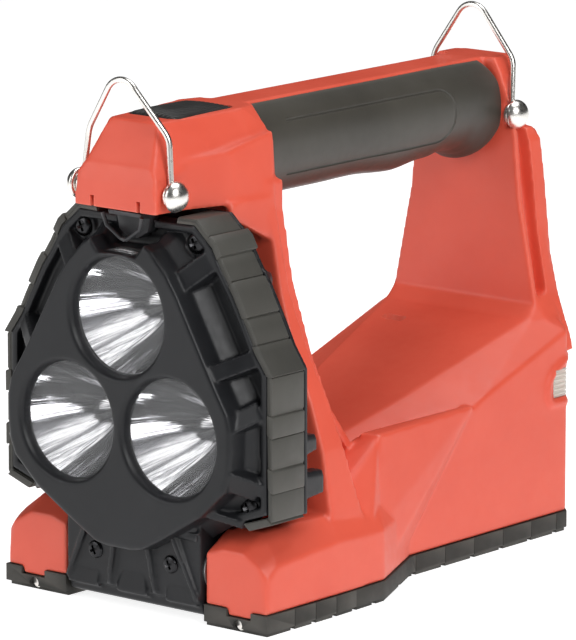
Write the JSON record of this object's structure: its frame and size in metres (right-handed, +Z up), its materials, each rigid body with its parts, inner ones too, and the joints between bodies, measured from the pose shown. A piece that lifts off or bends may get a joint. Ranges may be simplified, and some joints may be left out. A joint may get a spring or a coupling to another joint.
{
  "type": "firefighter lantern",
  "caption": "Rechargeable hand lantern for firefighting with a tilting multi-lamp head, rubber grip and boot, push switch, tail lights and wire carrying bails.",
  "frame": {"origin": "on the ground, under the middle of the lantern's bounding box", "axes": "-Y is the way the lamps shine, +Y is the rear, +Z is up, X is across the lantern"},
  "size_m": [0.131, 0.223, 0.2049],
  "materials": {
    "body_red": "moulded, fine texture",
    "base_plastic": "moulded",
    "boot_rubber": "matt",
    "screw_steel": "zinc plated",
    "grip_rubber": "satin",
    "inner_plastic": "moulded",
    "circuit_board": "solder mask",
    "switch_metal": "stamped",
    "pad_rubber": "ribbed",
    "battery_wrap": "shrink wrap",
    "connector_plastic": "moulded",
    "contact_metal": "plated",
    "component_black": "epoxy",
    "tail_lens": "ribbed clear plastic",
    "seal_rubber": "matt",
    "led_green": "diffusing",
    "bail_steel": "polished",
    "pin_steel": "ground",
    "brass": "turned",
    "bezel_black": "satin",
    "bumper_grey": "satin",
    "black_screws": "black coated steel",
    "heat_sink_metal": "die cast",
    "lens_clear": "clear",
    "reflector_chrome": "vacuum metallised",
    "led_emitter": "phosphor",
    "led_board_white": "solder mask"
  },
  "bodies": {
    "housing": {"main_housing": "body_red", "base_cover": "base_plastic", "base_boot": "boot_rubber", "base_screws": "screw_steel", "handle_grip": "grip_rubber", "switch_retainer": "inner_plastic", "switch_board": "circuit_board", "tact_switch": "switch_metal", "battery_tray": "inner_plastic", "battery_cells": "battery_wrap", "battery_clamp": "inner_plastic", "battery_connector": "connector_plastic", "charge_contacts": "contact_metal", "control_board": "circuit_board", "board_components": "component_black", "board_screws": "screw_steel", "tail_lens_right": "tail_lens", "tail_lens_left": "tail_lens", "tail_gasket_right": "seal_rubber", "tail_gasket_left": "seal_rubber", "tail_led_right": "circuit_board", "tail_led_left": "circuit_board", "indicator_lens": "tail_lens", "indicator_led": "led_green", "rivets_front": "bail_steel", "rivets_rear": "bail_steel", "hinge_pin": "pin_steel", "hinge_bushes": "brass", "hinge_end_caps": "inner_plastic", "cable_gland": "inner_plastic"},
    "head": {"head_bezel": "bezel_black", "head_bumper": "bumper_grey", "head_shell": "bezel_black", "head_gasket": "seal_rubber", "latch_tab": "bezel_black", "head_screws": "black_screws", "heat_sink": "heat_sink_metal", "lens_top": "lens_clear", "lens_right": "lens_clear", "lens_left": "lens_clear", "lens_seals": "seal_rubber", "reflector_top": "reflector_chrome", "reflector_right": "reflector_chrome", "reflector_left": "reflector_chrome", "led_top": "led_emitter", "led_right": "led_emitter", "led_left": "led_emitter", "led_board_top": "led_board_white", "led_board_right": "led_board_white", "led_board_left": "led_board_white", "friction_washers": "pin_steel"},
    "button": {"switch_pad": "pad_rubber", "switch_plunger": "inner_plastic"},
    "front_bail": {"front_bail": "bail_steel"},
    "rear_bail": {"rear_bail": "bail_steel"}
  },
  "joints": [
    {"name": "head_tilt", "type": "hinge", "parent": "housing", "child": "head", "pos_m": [0, -0.092, 0.02], "axis": [1, 0, 0], "range_deg": [0, 90]},
    {"name": "switch_press", "type": "slide", "parent": "housing", "child": "button", "axis": [0, 0, -1], "range_m": [0, 0.0015], "stiffness_N_per_m": 1200},
    {"name": "front_bail_swing", "type": "hinge", "parent": "housing", "child": "front_bail", "pos_m": [0, -0.1045, 0.1585], "axis": [1, 0, 0], "range_deg": [-10, 105]},
    {"name": "rear_bail_swing", "type": "hinge", "parent": "housing", "child": "rear_bail", "pos_m": [0, 0.0973, 0.1629], "axis": [1, 0, 0], "range_deg": [-100, 0]}
  ]
}
